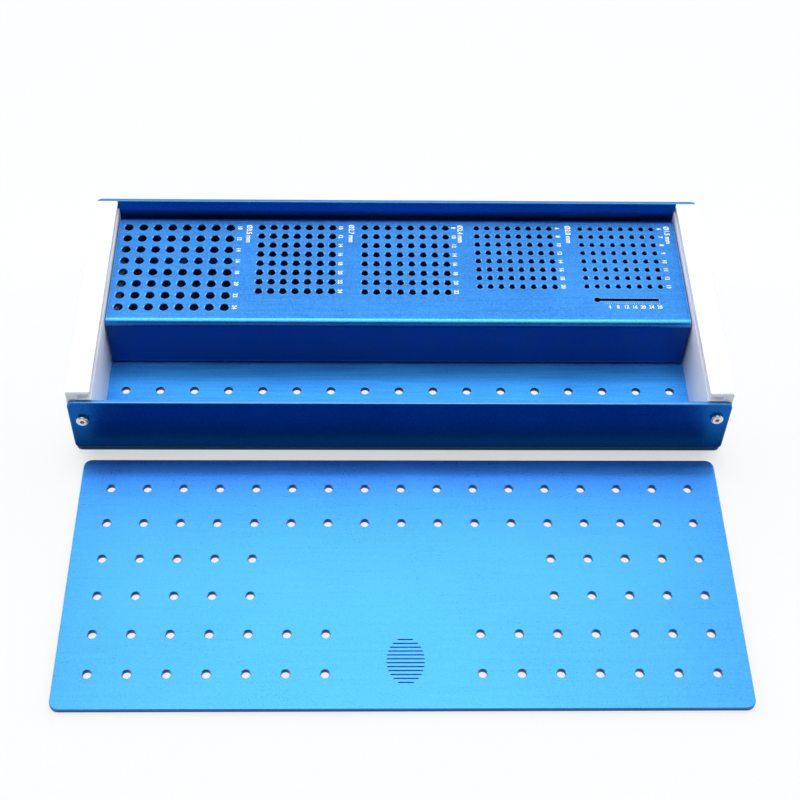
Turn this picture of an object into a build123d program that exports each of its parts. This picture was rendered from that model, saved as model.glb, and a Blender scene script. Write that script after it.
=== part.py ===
from build123d import *
import os

os.makedirs("parts", exist_ok=True)

# Tray box: a floor plate, two wall plates that stand on it and two end blocks between them
tray_length = 300.0
tray_depth = 127.0
sheet = 2.0
front_height = 34.5
rear_height = 39.5
floor_corner = 3.0
wall_top_corner = 3.0
wall_foot_corner = 2.5
sheet_edge = 0.45

# End blocks, with the groove that the lid slides in
block_width = 11.0
block_clearance = 0.05
lip_setback = 0.3
lip_height = 2.0
groove_height = 2.9
groove_depth = 6.6
block_edge = 0.9
lip_edge = 0.35

# Rack: one bent sheet with two upright legs and two feet that turn inwards
rack_sheet = 1.5
rack_half_length = 138.4
rack_front_depth = 51.2
rack_rear_depth = 122.2
rack_height = 31.8
rack_bend = 3.0
rack_foot = 9.0
rack_hole_chamfer = 0.3

# Screw seats: left column x, rear row depth, column pitch, row pitch, columns, hole diameter
seat_rows = 8
seat_grids = [
    (-133.4, 114.5, 7.18, 7.65, 8, 4.3),
    (-67.5, 115.0, 5.85, 6.20, 7, 3.6),
    (-16.5, 115.1, 5.73, 6.26, 8, 3.3),
    (39.1, 115.1, 5.20, 5.70, 8, 2.8),
    (90.9, 115.0, 5.11, 5.63, 8, 2.5),
]

# Length gauge: a round seat for the screw head and a slot for its shank
gauge_x = 95.1
gauge_depth = 66.7
gauge_seat = 3.2
gauge_end_x = 124.8
gauge_slot = 1.8

# Steam holes of the lid and the floor
steam_hole = 3.9
steam_chamfer = 0.25
lid_column_pitch = 16.4
lid_row_pitch = 18.9
lid_columns = 17
lid_rows = 6
lid_open_columns = [17, 17, 5, 5, 7, 7]
floor_column_pitch = 16.3
floor_row_depths = [15.4, 34.3, 72.1, 91.0]

# Lid, which lies on the table in front of the tray
lid_length = 290.4
lid_depth = 127.0
lid_sheet = 2.5
lid_corner = 4.0
lid_edge = 0.5
lid_gap = 7.4

# Thumb grip of the lid: grooves that fill an oval
grip_x = 0.8
grip_depth = 104.8
grip_half_width = 8.1
grip_half_height = 11.1
grip_grooves = 12
grip_pitch = 1.84
grip_groove_width = 0.8
grip_groove_depth = 0.6

# Button-head screws through the walls into the ends of the blocks
wall_screw_x = 144.1
front_left_screw_height = 22.7
front_right_screw_height = 24.9
rear_screw_height = 23.8
screw_shank = 2.9
screw_clearance_hole = 3.2
tapped_hole = 3.0
button_head = 5.7
button_height = 1.65
button_dome = 0.75
socket_flats = 2.0
socket_depth = 1.0
wall_screw_length = 10.0
tapped_depth = 12.0

# Countersunk screws through the floor into the undersides of the blocks
base_screw_x = 144.5
base_screw_y = 38.0
countersunk_head = 5.6
countersunk_height = 1.4
screw_gap = 0.1
base_screw_length = 10.0

# Rivets through the feet of the rack
rivet_x = 110.0
rivet_inset = 5.2
rivet_shank = 2.9
rivet_hole = 3.0
rivet_head = 5.0
rivet_sink = 1.0
rivet_dome = 0.9
rivet_dome_width = 4.8
rivet_gap = 0.05

tolerance = 0.001
front_face = -tray_depth / 2
rear_face = tray_depth / 2
block_inner = tray_length / 2 - block_width
block_front = front_face + sheet
block_rear = rear_face - sheet
groove_floor = rear_height - lip_height - groove_height
rack_front = front_face + rack_front_depth
rack_rear = front_face + rack_rear_depth
lid_rear = front_face - lid_gap
lid_centre_y = lid_rear - lid_depth / 2
floor_holes = [(0, front_face + depth) for depth in floor_row_depths]
rivet_spots = [
    (x, y)
    for y in (rack_front + rivet_inset, rack_rear - rivet_inset)
    for x in (-rivet_x, 0, rivet_x)
]
base_screw_spots = [
    (x, y) for y in (-base_screw_y, base_screw_y) for x in (-base_screw_x, base_screw_x)
]


def circles(part, diameter, height):
    """Round edges of one diameter that lie at one height."""
    return (
        part.edges()
        .filter_by(GeomType.CIRCLE)
        .filter_by(lambda edge: abs(edge.radius - diameter / 2) < tolerance)
        .filter_by(lambda edge: abs(edge.center().Z - height) < tolerance)
    )


def finish(part, name):
    """Names a finished piece and writes it."""
    part.part.label = name
    export_step(part.part, f"parts/{name}.step")


# Floor plate
with BuildPart() as floor_plate:
    with BuildSketch():
        RectangleRounded(tray_length, tray_depth, floor_corner)
    extrude(amount=sheet)
    with BuildSketch():
        with Locations(*floor_holes):
            with GridLocations(floor_column_pitch, 1, lid_columns, 1):
                Circle(steam_hole / 2)
        with Locations(*rivet_spots):
            Circle(rivet_hole / 2)
        with Locations(*base_screw_spots):
            Circle(screw_clearance_hole / 2)
    extrude(amount=sheet, mode=Mode.SUBTRACT)
    chamfer(circles(floor_plate, steam_hole, sheet), steam_chamfer)
    chamfer(circles(floor_plate, rivet_hole, 0), rivet_sink)
    chamfer(circles(floor_plate, screw_clearance_hole, 0), (countersunk_head - screw_clearance_hole) / 2)
    rims = floor_plate.faces().filter_by(Axis.Z).sort_by(SortBy.AREA)[-2:]
    fillet([edge for rim in rims for edge in rim.outer_wire().edges()], sheet_edge)
finish(floor_plate, "floor_plate")


# Front and rear walls: flat plates with rounded corners
wall_plates = [
    ("front_wall", front_face + sheet, front_height, front_left_screw_height, front_right_screw_height),
    ("rear_wall", rear_face, rear_height, rear_screw_height, rear_screw_height),
]
for name, back_y, height, left_height, right_height in wall_plates:
    with BuildPart() as wall:
        with BuildSketch(Plane.XZ.offset(-back_y)) as outline:
            with Locations((0, (sheet + height) / 2)):
                Rectangle(tray_length, height - sheet)
            fillet(outline.vertices().group_by(Axis.Y)[0], wall_foot_corner)
            fillet(outline.vertices().group_by(Axis.Y)[-1], wall_top_corner)
            with Locations((-wall_screw_x, left_height), (wall_screw_x, right_height)):
                Circle(screw_clearance_hole / 2, mode=Mode.SUBTRACT)
        extrude(amount=sheet)
        rims = wall.faces().filter_by(Axis.Y).sort_by(SortBy.AREA)[-2:]
        fillet([edge for rim in rims for edge in rim.outer_wire().edges()], sheet_edge)
    finish(wall, name)


# End blocks: the groove runs from end to end and is open above the front wall
block_sides = [
    ("end_block_left", -1, front_left_screw_height),
    ("end_block_right", 1, front_right_screw_height),
]
for name, side, front_screw_height in block_sides:
    with BuildPart() as block:
        with BuildSketch(Plane.XZ.offset(-block_rear + block_clearance)) as section:
            with Locations((side * (block_inner + tray_length / 2) / 2, (sheet + rear_height) / 2)):
                Rectangle(block_width, rear_height - sheet)
            with Locations((side * (block_inner + groove_depth / 2), groove_floor + groove_height / 2)):
                Rectangle(groove_depth, groove_height, mode=Mode.SUBTRACT)
            with Locations((side * (block_inner + lip_setback / 2), rear_height - lip_height / 2)):
                Rectangle(lip_setback, lip_height, mode=Mode.SUBTRACT)
        extrude(amount=block_rear - block_front - 2 * block_clearance)
        top = block.faces().filter_by(Axis.Z).sort_by(Axis.Z)[-1]
        inner_top = top.edges().filter_by(Axis.Y).sort_by(lambda edge: abs(edge.center().X))[0]
        fillet(inner_top, lip_edge)
        top = block.faces().filter_by(Axis.Z).sort_by(Axis.Z)[-1]
        outer_top = top.edges().filter_by(Axis.Y).sort_by(lambda edge: abs(edge.center().X))[-1]
        front_top = top.edges().filter_by(Axis.X).sort_by(Axis.Y)[0]
        fillet([outer_top, front_top], block_edge)
        with Locations(
            Plane((side * wall_screw_x, block_front, front_screw_height), z_dir=(0, -1, 0)),
            Plane((side * wall_screw_x, block_rear, rear_screw_height), z_dir=(0, 1, 0)),
        ):
            Hole(tapped_hole / 2, depth=tapped_depth)
        with Locations(
            Plane((side * base_screw_x, -base_screw_y, sheet), z_dir=(0, 0, -1)),
            Plane((side * base_screw_x, base_screw_y, sheet), z_dir=(0, 0, -1)),
        ):
            Hole(tapped_hole / 2, depth=tapped_depth)
    finish(block, name)


# Rack: the bent sheet with its screw seats and the length gauge
rack_path = [
    (rack_front + rack_foot, sheet),
    (rack_front, sheet),
    (rack_front, rack_height),
    (rack_rear, rack_height),
    (rack_rear, sheet),
    (rack_rear - rack_foot, sheet),
]
with BuildPart() as rack:
    with BuildSketch(Plane.YZ.offset(-rack_half_length)):
        with BuildLine():
            FilletPolyline(*rack_path, radius=rack_bend)
            offset(amount=rack_sheet, side=Side.RIGHT)
        make_face()
    extrude(amount=2 * rack_half_length)
    for left_x, rear_row, column_pitch, row_pitch, columns, diameter in seat_grids:
        centre_x = left_x + (columns - 1) * column_pitch / 2
        centre_y = front_face + rear_row - (seat_rows - 1) * row_pitch / 2
        with BuildSketch(Plane.XY.offset(rack_height)):
            with Locations((centre_x, centre_y)):
                with GridLocations(column_pitch, row_pitch, columns, seat_rows):
                    Circle(diameter / 2)
        extrude(amount=-2 * rack_sheet, mode=Mode.SUBTRACT)
        chamfer(circles(rack, diameter, rack_height), rack_hole_chamfer)
    with BuildSketch(Plane.XY.offset(rack_height)):
        with Locations((gauge_x, front_face + gauge_depth)):
            Circle(gauge_seat / 2)
        with Locations(((gauge_x + gauge_end_x) / 2, front_face + gauge_depth)):
            Rectangle(gauge_end_x - gauge_x, gauge_slot)
    extrude(amount=-2 * rack_sheet, mode=Mode.SUBTRACT)
    with BuildSketch(Plane.XY.offset(sheet)):
        with Locations(*rivet_spots):
            Circle(rivet_hole / 2)
    extrude(amount=rack_sheet, mode=Mode.SUBTRACT)
finish(rack, "screw_rack")


# Sliding lid
lid_rear_row = lid_centre_y + (lid_rows - 1) * lid_row_pitch / 2
first_column = -(lid_columns - 1) * lid_column_pitch / 2
lid_hole_spots = []
for row, open_columns in enumerate(lid_open_columns):
    for column in range(lid_columns):
        if column < open_columns or column >= lid_columns - open_columns:
            lid_hole_spots.append(
                (first_column + column * lid_column_pitch, lid_rear_row - row * lid_row_pitch)
            )
with BuildPart() as lid:
    with BuildSketch():
        with Locations((0, lid_centre_y)):
            RectangleRounded(lid_length, lid_depth, lid_corner)
    extrude(amount=lid_sheet)
    with BuildSketch():
        with Locations(*lid_hole_spots):
            Circle(steam_hole / 2)
    extrude(amount=lid_sheet, mode=Mode.SUBTRACT)
    chamfer(circles(lid, steam_hole, lid_sheet) + circles(lid, steam_hole, 0), steam_chamfer)
    rims = lid.faces().filter_by(Axis.Z).sort_by(SortBy.AREA)[-2:]
    fillet([edge for rim in rims for edge in rim.outer_wire().edges()], lid_edge)
    with BuildSketch(Plane.XY.offset(lid_sheet)):
        for groove in range(grip_grooves):
            off_centre = (groove - (grip_grooves - 1) / 2) * grip_pitch
            half_width = grip_half_width * (1 - (off_centre / grip_half_height) ** 2) ** 0.5
            with Locations((grip_x, lid_rear - grip_depth + off_centre)):
                SlotOverall(2 * half_width, grip_groove_width)
    extrude(amount=-grip_groove_depth, mode=Mode.SUBTRACT)
finish(lid, "sliding_lid")


# Button-head screws of the walls
wall_screws = [
    ("wall_screw_front_left", -wall_screw_x, front_face, front_left_screw_height, -1),
    ("wall_screw_front_right", wall_screw_x, front_face, front_right_screw_height, -1),
    ("wall_screw_rear_left", -wall_screw_x, rear_face, rear_screw_height, 1),
    ("wall_screw_rear_right", wall_screw_x, rear_face, rear_screw_height, 1),
]
for name, x, y, z, outward in wall_screws:
    seat = Plane((x, y, z), x_dir=(1, 0, 0), z_dir=(0, outward, 0))
    with BuildPart() as wall_screw:
        with BuildSketch(seat):
            Circle(button_head / 2)
        extrude(amount=button_height)
        crown = wall_screw.faces().sort_by(Axis.Y)[-1 if outward > 0 else 0]
        fillet(crown.edges(), button_dome)
        with BuildSketch(seat.offset(button_height)):
            RegularPolygon(socket_flats / 2, 6, major_radius=False)
        extrude(amount=-socket_depth, mode=Mode.SUBTRACT)
        with BuildSketch(seat):
            Circle(screw_shank / 2)
        extrude(amount=-wall_screw_length)
    finish(wall_screw, name)


# Countersunk screws under the floor
base_screw_names = ["front_left", "front_right", "rear_left", "rear_right"]
for place, (x, y) in zip(base_screw_names, base_screw_spots):
    with BuildPart() as base_screw:
        with BuildSketch(Plane.XZ.offset(-y)):
            with BuildLine():
                Polyline(
                    (x, 0),
                    (x + countersunk_head / 2 - screw_gap, 0),
                    (x + screw_shank / 2, countersunk_height - screw_gap),
                    (x + screw_shank / 2, base_screw_length),
                    (x, base_screw_length),
                    close=True,
                )
            make_face()
        revolve(axis=Axis((x, y, 0), (0, 0, 1)))
        with BuildSketch(Plane((x, y, 0), z_dir=(0, 0, -1))):
            RegularPolygon(socket_flats / 2, 6, major_radius=False)
        extrude(amount=-socket_depth, mode=Mode.SUBTRACT)
    finish(base_screw, f"base_screw_{place}")


# Rivets: a sunk head under the floor, a domed head inside
rivet_names = [f"{row}_{place}" for row in ("front", "rear") for place in ("left", "middle", "right")]
rivet_top = sheet + rack_sheet
for place, (x, y) in zip(rivet_names, rivet_spots):
    with BuildPart() as rivet:
        with BuildSketch(Plane.XZ.offset(-y)):
            with BuildLine():
                TangentArc(
                    (x, rivet_top + rivet_dome),
                    (x + rivet_dome_width / 2, rivet_top),
                    tangent=(1, 0),
                )
                Polyline(
                    (x + rivet_dome_width / 2, rivet_top),
                    (x + rivet_shank / 2, rivet_top),
                    (x + rivet_shank / 2, rivet_sink),
                    (x + rivet_head / 2 - rivet_gap, 0),
                    (x, 0),
                    (x, rivet_top + rivet_dome),
                )
            make_face()
        revolve(axis=Axis((x, y, 0), (0, 0, 1)))
    finish(rivet, f"rack_rivet_{place}")
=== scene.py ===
import math

import bmesh
import bpy
from mathutils import Matrix, Vector


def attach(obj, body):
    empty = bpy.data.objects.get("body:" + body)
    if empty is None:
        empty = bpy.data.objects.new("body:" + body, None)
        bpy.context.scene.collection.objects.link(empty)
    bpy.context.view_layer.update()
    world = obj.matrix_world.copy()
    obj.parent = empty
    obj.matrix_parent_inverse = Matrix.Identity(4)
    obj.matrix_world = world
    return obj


millimetre = 0.001
bevelSamples = 6
weldDistance = 1e-6
colourMixSockets, colourMixOutput = (0, 6, 7), 2  # factor, first and second colour of a Mix node
levelFace, underFace = (0.8, 0.95), (-0.9, -0.8)  # how far a face looks up, where a mask for it starts and is full

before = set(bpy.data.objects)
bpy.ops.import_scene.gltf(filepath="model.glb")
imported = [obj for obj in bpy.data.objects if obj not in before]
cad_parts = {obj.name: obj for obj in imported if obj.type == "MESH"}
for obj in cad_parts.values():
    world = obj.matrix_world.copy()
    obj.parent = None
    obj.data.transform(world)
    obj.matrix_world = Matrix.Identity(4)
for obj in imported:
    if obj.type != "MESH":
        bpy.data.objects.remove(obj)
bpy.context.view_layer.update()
print("model loaded with", len(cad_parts), "nodes")


# small helpers for materials
def addNode(tree, kind, settings=None, **sockets):
    # a node with its settings, and each socket given a value or linked; "_" stands for a space
    node = tree.nodes.new(kind)
    for key, value in (settings or {}).items():
        setattr(node, key, value)
    for key, value in sockets.items():
        socket = node.inputs[key.replace("_", " ")]
        if isinstance(value, bpy.types.NodeSocket):
            tree.links.new(value, socket)
        else:
            socket.default_value = value
    return node


def newMaterial(name, **constants):
    # an empty material with a Principled shader whose constants sit on its own sockets
    material = bpy.data.materials.new(name)
    material.use_nodes = True
    tree = material.node_tree
    tree.nodes.clear()
    shader = addNode(tree, "ShaderNodeBsdfPrincipled", None, **constants)
    addNode(tree, "ShaderNodeOutputMaterial", None, Surface=shader.outputs["BSDF"])
    return material, tree, shader


def linkTo(tree, output, shader, socketName):
    tree.links.new(output, shader.inputs[socketName])


def objectPlace(tree, stretch=(1, 1, 1)):
    # object coordinates, stretched so that a pattern runs as streaks
    place = addNode(tree, "ShaderNodeTexCoord").outputs["Object"]
    stretched = addNode(tree, "ShaderNodeMapping", {"vector_type": "POINT"}, Vector=place, Scale=stretch)
    return stretched.outputs["Vector"]


def noise(tree, place, scale, detail=2.0, roughness=0.5):
    return addNode(tree, "ShaderNodeTexNoise", None, Vector=place, Scale=scale,
                   Detail=detail, Roughness=roughness).outputs["Fac"]


def ramp(tree, factor, *stops):
    # stops are (position, colour or grey)
    node = addNode(tree, "ShaderNodeValToRGB", None, Fac=factor)
    band = node.color_ramp
    while len(band.elements) < len(stops):
        band.elements.new(0.5)
    for element, (position, colour) in zip(band.elements, stops):
        rgb = (colour,) * 3 if isinstance(colour, (int, float)) else colour
        element.position = position
        element.color = (*rgb, 1)
    return node.outputs["Color"]


def compute(tree, operation, *values):
    node = addNode(tree, "ShaderNodeMath", {"operation": operation})
    for socket, value in zip(node.inputs, values):
        if isinstance(value, bpy.types.NodeSocket):
            tree.links.new(value, socket)
        else:
            socket.default_value = value
    return node.outputs[0]


def blend(tree, factor, a, b):
    # colour a where factor is 0, b where it is 1
    node = addNode(tree, "ShaderNodeMix", {"data_type": "RGBA"})
    for index, value in zip(colourMixSockets, (factor, a, b)):
        if isinstance(value, bpy.types.NodeSocket):
            tree.links.new(value, node.inputs[index])
        else:
            node.inputs[index].default_value = value if index == 0 else (*value, 1)
    return node.outputs[colourMixOutput]


def edgeMask(tree, radius, sharpness):
    # 1 on the rounded and cut edges, 0 on the faces
    rounded = addNode(tree, "ShaderNodeBevel", {"samples": bevelSamples}, Radius=radius)
    flat = addNode(tree, "ShaderNodeNewGeometry").outputs["Normal"]
    match = addNode(tree, "ShaderNodeVectorMath", {"operation": "DOT_PRODUCT"})
    tree.links.new(rounded.outputs["Normal"], match.inputs[0])
    tree.links.new(flat, match.inputs[1])
    return addNode(tree, "ShaderNodeMapRange", None, Value=match.outputs["Value"],
                   From_Min=1.0, From_Max=1.0 - sharpness, To_Min=0.0, To_Max=1.0).outputs["Result"]


def addBump(tree, shader, height, distance, strength):
    bump = addNode(tree, "ShaderNodeBump", None, Height=height, Distance=distance, Strength=strength)
    linkTo(tree, bump.outputs["Normal"], shader, "Normal")


def dress(material, *nodeNames):
    for name in nodeNames:
        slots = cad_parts[name].data.materials
        if len(slots) == 0:
            slots.append(material)
        for index in range(len(slots)):
            slots[index] = material


# blue anodised sheet: bead-blasted grain, faint drawing lines along the tray, paler edges that are part wear and part
# painted highlight, painted shade on upright faces and hole walls
anodisedRack = {
    "deep": (0.028, 0.215, 0.66), "bright": (0.046, 0.315, 0.90), "contrast": (0.40, 0.60),
    "grainScale": 1500, "grainDetail": 2.0, "streakStretch": (30, 900, 900), "streakDetail": 3.0, "fineness": 0.6,
    "cloudScale": 22, "cloudDetail": 2.0, "cloudFineness": 0.5, "streakShare": 0.25, "cloudShare": 0.15,
    "roughness": (0.28, 0.38), "roughBand": (0.35, 0.65), "bumpHeight": 0.02 * millimetre, "bumpStrength": 0.45,
    "wornAndHighlight": (0.30, 0.70, 1.0), "edgeRadius": 0.7 * millimetre, "edgeAmount": 0.9, "edgeSharpness": 0.15,
    # painted shade for upright faces and hole walls, how strongly it applies and from which slope
    "sideShade": (0.003, 0.034, 0.15), "sideShadeAmount": 0.85, "sideShadeFrom": (0.3, 0.1),
    "coat": 0.25, "coatRoughness": 0.32, "coatIndex": 1.5, "glance": (1.0, 1.0, 1.0),
}
anodisedLid = dict(
    anodisedRack, deep=(0.030, 0.200, 0.66), bright=(0.054, 0.300, 0.90), contrast=(0.30, 0.70),
    roughness=(0.27, 0.36), grainScale=1700, streakShare=0.20, coat=0.15, sideShade=(0.003, 0.028, 0.095), sideShadeAmount=0.92,
    edgeRadius=0.4 * millimetre, edgeAmount=0.2, bumpStrength=0.18,
)
anodisedFloor = dict(
    anodisedRack, deep=(0.040, 0.30, 0.90), bright=(0.070, 0.48, 1.0), roughness=(0.52, 0.66), streakShare=0.40,
    sideShade=(0.006, 0.016, 0.035), sideShadeAmount=0.95, sideShadeFrom=(0.85, 0.75),
    underRackShade=(0.004, 0.020, 0.07), underRackShadeFrom=(-8 * millimetre, 0.0),
)
# the upright walls take a much darker copy of the blue: painted shade for faces turned away from the light
anodisedFront = dict(
    anodisedRack, deep=(0.006, 0.085, 0.34), bright=(0.012, 0.130, 0.46), roughness=(0.30, 0.40), streakShare=0.15,
    sideShadeAmount=0.0, coat=0.0, glance=(0.45, 0.60, 0.95), rim=(0.07, 0.25, 0.55),
    footShadeAmount=0.90, footShadeHeight=(0.0, 24 * millimetre), footShadeColour=(0.0, 0.010, 0.045),
)
anodisedRear = dict(
    anodisedFront, deep=(0.008, 0.120, 0.44), bright=(0.014, 0.165, 0.56), roughness=(0.44, 0.54),
    rim=(0.06, 0.22, 0.48), footShadeAmount=0.0,
)


def facing(tree):
    # how far a face looks up: 1 for a top, 0 for an upright face, -1 for an underside
    normal = addNode(tree, "ShaderNodeNewGeometry").outputs["True Normal"]
    return addNode(tree, "ShaderNodeSeparateXYZ", None, Vector=normal).outputs["Z"]


def between(tree, value, start, end):
    # 0 at start, 1 at end, held level on both sides
    limits = addNode(tree, "ShaderNodeMapRange", None, Value=value, From_Min=start, From_Max=end)
    return limits.outputs["Result"]


def cutFaces(tree, look):
    # 1 on the upright faces of a sheet, in its holes and on their lower chamfers, 0 on its top and underside: where
    # painted shade goes
    rise = facing(tree)
    return compute(tree, "MULTIPLY", between(tree, rise, *look["sideShadeFrom"]), between(tree, rise, *underFace))


def anodised(name, look):
    material, tree, shader = newMaterial(
        name, Metallic=1.0, Coat_Weight=look["coat"], Coat_Roughness=look["coatRoughness"], Coat_IOR=look["coatIndex"],
        Specular_Tint=(*look["glance"], 1))
    grain = noise(tree, objectPlace(tree), look["grainScale"], look["grainDetail"], look["fineness"])
    streak = noise(tree, objectPlace(tree, look["streakStretch"]), 1.0, look["streakDetail"], look["fineness"])
    cloud = noise(tree, objectPlace(tree), look["cloudScale"], look["cloudDetail"], look["cloudFineness"])
    streaks = compute(tree, "MULTIPLY", streak, look["streakShare"])
    clouds = compute(tree, "MULTIPLY", cloud, look["cloudShare"])
    grains = compute(tree, "MULTIPLY", grain, 1.0 - look["cloudShare"] - look["streakShare"])
    mixed = compute(tree, "ADD", grains, compute(tree, "ADD", streaks, clouds))
    low, high = look["contrast"]
    dyeAndPaintedLight = ramp(tree, mixed, (low, look["deep"]), (high, look["bright"]))
    objectCoordinates = addNode(tree, "ShaderNodeTexCoord").outputs["Object"]
    place = addNode(tree, "ShaderNodeSeparateXYZ", None, Vector=objectCoordinates).outputs
    if "rim" in look:
        # painted shade darkens the upright plates towards their foot, and a painted highlight brightens their top
        # faces
        footShade = compute(tree, "SUBTRACT", 1.0, between(tree, place["Z"], *look["footShadeHeight"]))
        footShaded = blend(tree, compute(tree, "MULTIPLY", footShade, look["footShadeAmount"]), dyeAndPaintedLight, look["footShadeColour"])
        dyeAndPaintedLight = blend(tree, between(tree, facing(tree), *levelFace), footShaded, look["rim"])
    if "underRackShade" in look:
        # under the rack the floor's top side is darkened: painted shade
        underRackShadeMask = compute(tree, "MULTIPLY", between(tree, place["Y"], *look["underRackShadeFrom"]),
                        between(tree, facing(tree), *levelFace))
        dyeAndPaintedLight = blend(tree, underRackShadeMask, dyeAndPaintedLight, look["underRackShade"])
    # paler edges and hole rims: partly real wear, partly a painted highlight
    wearAndHighlight = compute(tree, "MULTIPLY", edgeMask(tree, look["edgeRadius"], look["edgeSharpness"]), look["edgeAmount"])
    colour = blend(tree, wearAndHighlight, dyeAndPaintedLight, look["wornAndHighlight"])
    # painted shade: upright faces, hole walls and grooves are darkened
    if look["sideShadeAmount"] > 0:
        sideShade = compute(tree, "MULTIPLY", cutFaces(tree, look), look["sideShadeAmount"])
        colour = blend(tree, sideShade, colour, look["sideShade"])
    linkTo(tree, colour, shader, "Base Color")
    linkTo(tree, ramp(tree, mixed, *zip(look["roughBand"], look["roughness"])), shader, "Roughness")
    height = compute(tree, "ADD", grain, streaks)
    addBump(tree, shader, height, look["bumpHeight"], look["bumpStrength"])
    return material


dress(anodised("blueRack", anodisedRack), "screw_rack")
dress(anodised("blueFloor", anodisedFloor), "floor_plate")
dress(anodised("blueFront", anodisedFront), "front_wall")
dress(anodised("blueRear", anodisedRear), "rear_wall")
dress(anodised("blueLid", anodisedLid), "sliding_lid")
print("anodised sheets dressed")


# white plastic end blocks: fine grain, cutter marks along the block, paler edges
whitePlastic = {
    "face": (0.90, 0.905, 0.92), "shade": (0.84, 0.85, 0.875), "tintBand": (0.35, 0.6),
    "edge": (0.95, 0.95, 0.955), "edgeRadius": 0.5 * millimetre, "edgeSharpness": 0.4,
    "roughness": (0.34, 0.46), "roughBand": (0.3, 0.7), "index": 1.48, "bleed": 0.12, "bleedDepth": 0.8 * millimetre,
    "grainScale": 900, "grainDetail": 3.0, "grainFineness": 0.6, "grainShare": 0.5,
    "markStretch": (900, 40, 900), "markDetail": 2.0, "markFineness": 0.5,
    "bumpHeight": 0.015 * millimetre, "bumpStrength": 0.4,
}


def plastic(name, look):
    material, tree, shader = newMaterial(
        name, Subsurface_Weight=look["bleed"], Subsurface_Scale=look["bleedDepth"], Subsurface_Radius=(1.0, 1.0, 1.0),
        IOR=look["index"])
    grain = noise(tree, objectPlace(tree), look["grainScale"], look["grainDetail"], look["grainFineness"])
    mark = noise(tree, objectPlace(tree, look["markStretch"]), 1.0, look["markDetail"], look["markFineness"])
    mixed = compute(tree, "ADD", compute(tree, "MULTIPLY", grain, look["grainShare"]),
                    compute(tree, "MULTIPLY", mark, 1.0 - look["grainShare"]))
    tint = ramp(tree, mixed, *zip(look["tintBand"], (look["shade"], look["face"])))
    edges = edgeMask(tree, look["edgeRadius"], look["edgeSharpness"])
    linkTo(tree, blend(tree, edges, tint, look["edge"]), shader, "Base Color")
    linkTo(tree, ramp(tree, mixed, *zip(look["roughBand"], look["roughness"])), shader, "Roughness")
    addBump(tree, shader, mixed, look["bumpHeight"], look["bumpStrength"])
    return material


dress(plastic("whiteBlock", whitePlastic), "end_block_left", "end_block_right")
print("end blocks dressed")


# turned stainless screws and aluminium rivets
turnedSteel = {
    "dark": (0.50, 0.50, 0.51), "light": (0.80, 0.79, 0.77), "tintBand": (0.35, 0.6),
    "edge": (0.92, 0.92, 0.92), "edgeRadius": 0.15 * millimetre, "edgeSharpness": 0.4,
    "roughness": (0.16, 0.34), "roughBand": (0.3, 0.7),
    "grainScale": 2600, "grainDetail": 3.0, "grainFineness": 0.65, "grainShare": 0.6,
    "patchScale": 390, "patchDetail": 2.0, "patchFineness": 0.5,
    "bumpHeight": 0.008 * millimetre, "bumpStrength": 0.35,
}
rivetMetal = dict(turnedSteel, dark=(0.62, 0.64, 0.68), light=(0.84, 0.85, 0.87), roughness=(0.30, 0.46),
                  grainScale=1800, patchScale=270)


def turned(name, look):
    material, tree, shader = newMaterial(name, Metallic=1.0)
    grain = noise(tree, objectPlace(tree), look["grainScale"], look["grainDetail"], look["grainFineness"])
    patch = noise(tree, objectPlace(tree), look["patchScale"], look["patchDetail"], look["patchFineness"])
    mixed = compute(tree, "ADD", compute(tree, "MULTIPLY", grain, look["grainShare"]),
                    compute(tree, "MULTIPLY", patch, 1.0 - look["grainShare"]))
    colour = ramp(tree, mixed, *zip(look["tintBand"], (look["dark"], look["light"])))
    edges = edgeMask(tree, look["edgeRadius"], look["edgeSharpness"])
    linkTo(tree, blend(tree, edges, colour, look["edge"]), shader, "Base Color")
    linkTo(tree, ramp(tree, mixed, *zip(look["roughBand"], look["roughness"])), shader, "Roughness")
    addBump(tree, shader, grain, look["bumpHeight"], look["bumpStrength"])
    return material


ends, sides = ("front", "rear"), ("left", "right")
steel = turned("stainlessHeads", turnedSteel)
for kind in ("wall_screw", "base_screw"):
    dress(steel, *[f"{kind}_{end}_{side}" for end in ends for side in sides])
rivetSpots = ("left", "middle", "right")
dress(turned("rivetHeads", rivetMetal), *[f"rack_rivet_{end}_{spot}" for end in ends for spot in rivetSpots])
print("fasteners dressed")


# white printing on the rack: row numbers, seat sizes and the length scale, each a thin layer of ink

printing = {
    "rackTop": 31.8, "frontFace": -63.5, "inkBase": -0.01, "inkThickness": 0.035, "boldness": 0.03,
    "rows": 8, "numberSize": 3.0, "labelSize": 3.7, "labelAhead": 2.0, "narrow": 0.86, "curveSteps": 3,
    "ink": (0.86, 0.90, 0.95), "inkThin": (0.62, 0.74, 0.90), "inkBand": (0.30, 0.48), "sheen": 0.35,
    "roughness": (0.5, 0.65), "roughBand": (0.3, 0.7), "speckScale": 2600, "speckDetail": 2.0, "speckFineness": 0.6,
    "bumpHeight": 0.01 * millimetre, "bumpStrength": 0.4,
}
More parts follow.
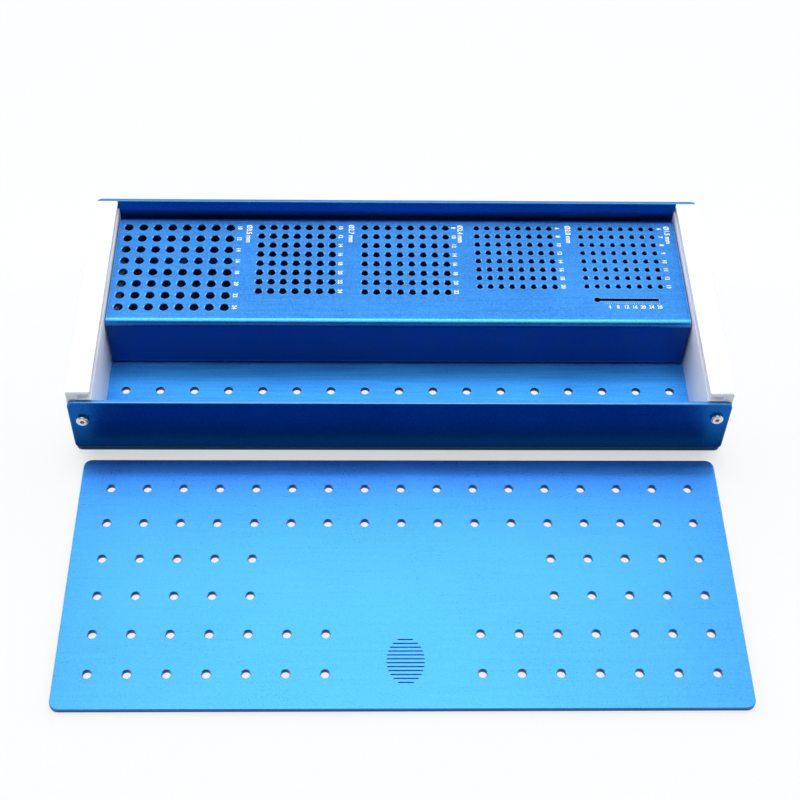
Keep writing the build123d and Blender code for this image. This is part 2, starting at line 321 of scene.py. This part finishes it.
# millimetres: rear row's depth behind the front face, row pitch, last column's x, gap to the numbers,
# first number and its step, size label and its x
seatGroups = {
    "large": (114.5, 7.65, -83.1, 4.6, 10, 2, "Ø3.5 mm", -73.9),
    "medium": (115.0, 6.20, -32.4, 3.9, 10, 2, "Ø2.7 mm", -23.3),
    "small": (115.1, 6.26, 23.6, 3.9, 8, 2, "Ø2.4 mm", 30.8),
    "mini": (115.1, 5.70, 75.5, 3.9, 6, 2, "Ø2.0 mm", 84.6),
    "micro": (115.0, 5.63, 126.7, 3.9, 6, 1, "Ø1.5 mm", 134.2),
}
lengthScale = {
    "zeroX": 96.7, "numbers": range(4, 29, 4), "numberSize": 2.9, "numberDepth": 62.0, "tickDepth": 64.7,
    "tickWidth": 0.14, "shortTick": 0.5, "longTick": 0.9, "firstTick": 2, "lastTick": 28, "longEvery": 4,
}


def inkMaterial(look):
    material, tree, shader = newMaterial("whiteInk", Specular_IOR_Level=look["sheen"])
    speck = noise(tree, objectPlace(tree), look["speckScale"], look["speckDetail"], look["speckFineness"])
    linkTo(tree, ramp(tree, speck, *zip(look["inkBand"], (look["inkThin"], look["ink"]))), shader, "Base Color")
    linkTo(tree, ramp(tree, speck, *zip(look["roughBand"], look["roughness"])), shader, "Roughness")
    addBump(tree, shader, speck, look["bumpHeight"], look["bumpStrength"])
    return material


def addWord(target, word, size, x, depth, turn, align="CENTER"):
    # one printed word, flat on the rack, turned about Z and set with its middle at x and depth
    curve = bpy.data.curves.new("word", "FONT")
    curve.body, curve.size, curve.align_x, curve.align_y = word, size, align, "CENTER"
    curve.extrude = printing["inkThickness"] / 2
    curve.offset = printing["boldness"] * size
    curve.resolution_u = printing["curveSteps"]
    holder = bpy.data.objects.new("word", curve)
    bpy.context.scene.collection.objects.link(holder)
    bpy.context.view_layer.update()
    flat = bpy.data.meshes.new_from_object(holder.evaluated_get(bpy.context.evaluated_depsgraph_get()))
    spot = Matrix.Translation((x, printing["frontFace"] + depth, inkHeight()))
    heading = Matrix.Rotation(math.radians(turn), 4, "Z")
    narrowed = Matrix.Diagonal((printing["narrow"], 1, 1, 1))
    flat.transform(Matrix.Diagonal((millimetre,) * 3 + (1,)) @ spot @ heading @ narrowed)
    target.from_mesh(flat)
    bpy.data.objects.remove(holder)
    bpy.data.curves.remove(curve)
    bpy.data.meshes.remove(flat)


def inkHeight():
    return printing["rackTop"] + printing["inkBase"] + printing["inkThickness"] / 2


def addTick(target, x, depth, width, length):
    # a small bar from a square, drawn out along the depth
    bar = bmesh.ops.create_cube(target, size=millimetre)["verts"]
    bmesh.ops.scale(target, vec=(width, length, printing["inkThickness"]), verts=bar)
    spot = Vector((x, printing["frontFace"] + depth, inkHeight())) * millimetre
    bmesh.ops.translate(target, verts=bar, vec=spot)


def finishPiece(name, shape, material, body):
    # welds, turns the faces outwards and hangs the piece on its body
    bmesh.ops.remove_doubles(shape, verts=shape.verts, dist=weldDistance)
    bmesh.ops.recalc_face_normals(shape, faces=shape.faces)
    mesh = bpy.data.meshes.new(name)
    shape.to_mesh(mesh)
    shape.free()
    mesh.materials.append(material)
    piece = bpy.data.objects.new(name, mesh)
    bpy.context.scene.collection.objects.link(piece)
    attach(piece, body)


ink = inkMaterial(printing)
for group, (rear, rowPitch, lastX, gapShade, first, step, label, labelX) in seatGroups.items():
    words = bmesh.new()
    for row in range(printing["rows"]):
        addWord(words, str(first + step * row), printing["numberSize"], lastX + gapShade, rear - rowPitch * row, -90)
    addWord(words, label, printing["labelSize"], labelX, rear + printing["labelAhead"], -90, "LEFT")
    finishPiece("print_" + group + "_seats", words, ink, "tray")

words = bmesh.new()
for number in lengthScale["numbers"]:
    numberX = lengthScale["zeroX"] + number
    addWord(words, str(number), lengthScale["numberSize"], numberX, lengthScale["numberDepth"], 0)
for mark in range(lengthScale["firstTick"], lengthScale["lastTick"] + 1):
    tickLength = lengthScale["shortTick" if mark % lengthScale["longEvery"] else "longTick"]
    tickMiddle = lengthScale["tickDepth"] - tickLength / 2
    addTick(words, lengthScale["zeroX"] + mark, tickMiddle, lengthScale["tickWidth"], tickLength)
finishPiece("print_length_scale", words, ink, "tray")
print("printing laid on the rack")


# the table: pale paper, just under the part
table = {
    "reach": 4.0, "height": -0.1 * millimetre, "pale": (0.74, 0.75, 0.77), "deeper": (0.72, 0.73, 0.75),
    "tintBand": (0.35, 0.65), "fibreScale": 700, "roughness": 0.8, "sheen": 0.2,
    "glow": 0.74, "glowColour": (1.0, 1.0, 1.0),
    "gapShadeGlow": 0.50, "gapFront": (-0.078, -0.073), "gapRear": (-0.058, -0.061), "gapEnd": (0.152, 0.140),
}


def seenDirectly(tree):
    # 1 for what the camera, polished metal and clear parts see, 0 for the light the table gives back
    path = addNode(tree, "ShaderNodeLightPath").outputs
    mirrored = compute(tree, "MAXIMUM", path["Is Glossy Ray"], path["Is Transmission Ray"])
    return compute(tree, "MAXIMUM", path["Is Camera Ray"], mirrored)


def makeTable(look):
    shape = bmesh.new()
    bmesh.ops.create_grid(shape, x_segments=1, y_segments=1, size=look["reach"])
    bmesh.ops.translate(shape, verts=shape.verts, vec=(0, 0, look["height"]))
    mesh = bpy.data.meshes.new("table")
    shape.to_mesh(mesh)
    shape.free()
    material, tree, shader = newMaterial("tablePaper", Roughness=look["roughness"], Specular_IOR_Level=look["sheen"])
    fibre = noise(tree, objectPlace(tree), look["fibreScale"])
    linkTo(tree, ramp(tree, fibre, *zip(look["tintBand"], (look["deeper"], look["pale"]))), shader, "Base Color")
    # most of what the camera sees is plain white, so that shadows on it stay pale; less in the gap before the tray,
    # which paints shade into that strip
    objectCoordinates = addNode(tree, "ShaderNodeTexCoord").outputs["Object"]
    place = addNode(tree, "ShaderNodeSeparateXYZ", None, Vector=objectCoordinates).outputs
    gapDepth = compute(tree, "MULTIPLY", between(tree, place["Y"], *look["gapFront"]),
                       between(tree, place["Y"], *look["gapRear"]))
    gapLength = between(tree, compute(tree, "ABSOLUTE", place["X"]), *look["gapEnd"])
    gapShade = compute(tree, "MULTIPLY", gapDepth, gapLength)
    glow = compute(tree, "ADD", look["glow"], compute(tree, "MULTIPLY", gapShade, look["gapShadeGlow"] - look["glow"]))
    white = addNode(tree, "ShaderNodeEmission", None, Color=(*look["glowColour"], 1), Strength=1.0)
    share = compute(tree, "MULTIPLY", seenDirectly(tree), glow)
    mixed = addNode(tree, "ShaderNodeMixShader", None, Fac=share)
    tree.links.new(shader.outputs["BSDF"], mixed.inputs[1])
    tree.links.new(white.outputs["Emission"], mixed.inputs[2])
    output = next(node for node in tree.nodes if node.type == "OUTPUT_MATERIAL")
    tree.links.new(mixed.outputs["Shader"], output.inputs["Surface"])
    mesh.materials.append(material)
    piece = bpy.data.objects.new("table", mesh)
    bpy.context.scene.collection.objects.link(piece)


makeTable(table)

# soft light all round: its level over the height above the table (0 level, 1 overhead), by side of the tray
surroundings = {
    "behind": (
        (0.0, 1.0), (0.34, 1.3), (0.57, 1.2), (0.68, 0.8), (0.76, 0.75), (0.84, 0.95), (0.88, 2.6), (0.92, 5.2),
        (0.97, 5.6), (1.0, 4.0),
    ),
    "beside": ((0.0, 2.7), (0.30, 2.7), (0.60, 2.0), (0.85, 1.3), (0.94, 1.8), (1.0, 4.0)),
    "before": (
        (0.0, 1.0), (0.15, 0.8), (0.30, 0.35), (0.50, 0.10), (0.64, 0.05), (0.78, 0.08), (0.86, 0.35), (0.92, 1.5),
        (0.97, 3.0), (1.0, 4.0),
    ),
    "behindFrom": (0.70, 0.92), "beforeFrom": (0.25, -0.25),  # heading: 1 straight behind, -1 straight before
    "top": 6.0, "strength": 0.94, "tint": (0.985, 0.99, 1.0), "nearlyOne": 1.0001,
}


def smoothly(tree, value, start, end):
    # 0 at start, 1 at end, eased at both
    limits = addNode(tree, "ShaderNodeMapRange", {"interpolation_type": "SMOOTHSTEP"}, Value=value, From_Min=start,
                     From_Max=end)
    return limits.outputs["Result"]


def makeSurroundings(look):
    # lights the scene by direction, and shows the camera plain white
    world = bpy.data.worlds.new("studio")
    bpy.context.scene.world = world
    world.use_nodes = True
    tree = world.node_tree
    tree.nodes.clear()
    direction = addNode(tree, "ShaderNodeTexCoord").outputs["Generated"]
    parts = addNode(tree, "ShaderNodeSeparateXYZ", None, Vector=direction).outputs
    level = {}
    for side in ("behind", "beside", "before"):
        stops = [(height, strength / look["top"]) for height, strength in look[side]]
        level[side] = ramp(tree, parts["Z"], *stops)
    # how far the direction lies behind or before, over its length along the table
    flatShare = compute(tree, "SUBTRACT", look["nearlyOne"], compute(tree, "MULTIPLY", parts["Z"], parts["Z"]))
    heading = compute(tree, "DIVIDE", parts["Y"], compute(tree, "SQRT", flatShare))
    behind = smoothly(tree, heading, *look["behindFrom"])
    before = smoothly(tree, heading, *look["beforeFrom"])
    mixed = blend(tree, before, blend(tree, behind, level["beside"], level["behind"]), level["before"])
    tinted = addNode(tree, "ShaderNodeMix", {"data_type": "RGBA", "blend_type": "MULTIPLY"})
    whole, first, second = colourMixSockets
    tinted.inputs[whole].default_value = 1.0
    tree.links.new(mixed, tinted.inputs[first])
    tinted.inputs[second].default_value = (*look["tint"], 1)
    glow = addNode(tree, "ShaderNodeBackground", None, Color=tinted.outputs[colourMixOutput],
                   Strength=look["top"] * look["strength"])
    white = addNode(tree, "ShaderNodeBackground", None, Color=(1, 1, 1, 1), Strength=1.0)
    camera = addNode(tree, "ShaderNodeLightPath").outputs["Is Camera Ray"]
    shown = addNode(tree, "ShaderNodeMixShader", None, Fac=camera)
    tree.links.new(glow.outputs["Background"], shown.inputs[1])
    tree.links.new(white.outputs["Background"], shown.inputs[2])
    addNode(tree, "ShaderNodeOutputWorld", None, Surface=shown.outputs["Shader"])


makeSurroundings(surroundings)

# position, aim, width, depth and radiance of each lamp
lamps = {
    "rearStrip": {"position": (0.0, 0.135, 0.42), "aim": (0.0, -0.05, 0.0), "size": (0.5, 0.03), "radiance": 4.6},
}
for lampName, lamp in lamps.items():
    light = bpy.data.lights.new(lampName, "AREA")
    light.shape = "RECTANGLE"
    light.size, light.size_y = lamp["size"]
    light.energy = lamp["radiance"] * math.pi * lamp["size"][0] * lamp["size"][1]
    lampObject = bpy.data.objects.new(lampName, light)
    bpy.context.scene.collection.objects.link(lampObject)
    towards = Vector(lamp["aim"]) - Vector(lamp["position"])
    turn = towards.to_track_quat("-Z", "Y").to_matrix().to_4x4()
    lampObject.matrix_world = Matrix.Translation(lamp["position"]) @ turn
    lampObject.visible_camera = False
print("table, surroundings and lamps set")


# camera, solved from the holes and edges; angles in degrees, sensor in millimetres
camera = {
    "position": (-18.01 * millimetre, -495.15 * millimetre, 568.93 * millimetre),
    "pitch": 50.0377, "yaw": 2.2489, "roll": 1.8801, "focalPixels": 1530.29, "imagePixels": 800,
    "axisRow": 376.87, "sensor": 36.0, "clip": (0.01, 50),
}


def makeCamera(look):
    pitch, yaw, roll = (math.radians(look[key]) for key in ("pitch", "yaw", "roll"))
    ahead = Vector((math.sin(yaw) * math.cos(pitch), math.cos(yaw) * math.cos(pitch), -math.sin(pitch)))
    level = Vector((math.cos(yaw), -math.sin(yaw), 0))
    upright = level.cross(ahead)
    right = level * math.cos(roll) + upright * math.sin(roll)
    up = upright * math.cos(roll) - level * math.sin(roll)
    data = bpy.data.cameras.new("camera")
    data.sensor_width = look["sensor"]
    data.lens = look["focalPixels"] * look["sensor"] / look["imagePixels"]
    data.shift_y = (look["axisRow"] - look["imagePixels"] / 2) / look["imagePixels"]
    data.clip_start, data.clip_end = look["clip"]
    holder = bpy.data.objects.new("camera", data)
    bpy.context.scene.collection.objects.link(holder)
    turn = Matrix((right, up, -ahead)).transposed().to_4x4()
    holder.matrix_world = Matrix.Translation(look["position"]) @ turn
    bpy.context.scene.camera = holder


makeCamera(camera)
bpy.context.scene.view_settings.view_transform = "Standard"
print("camera placed")
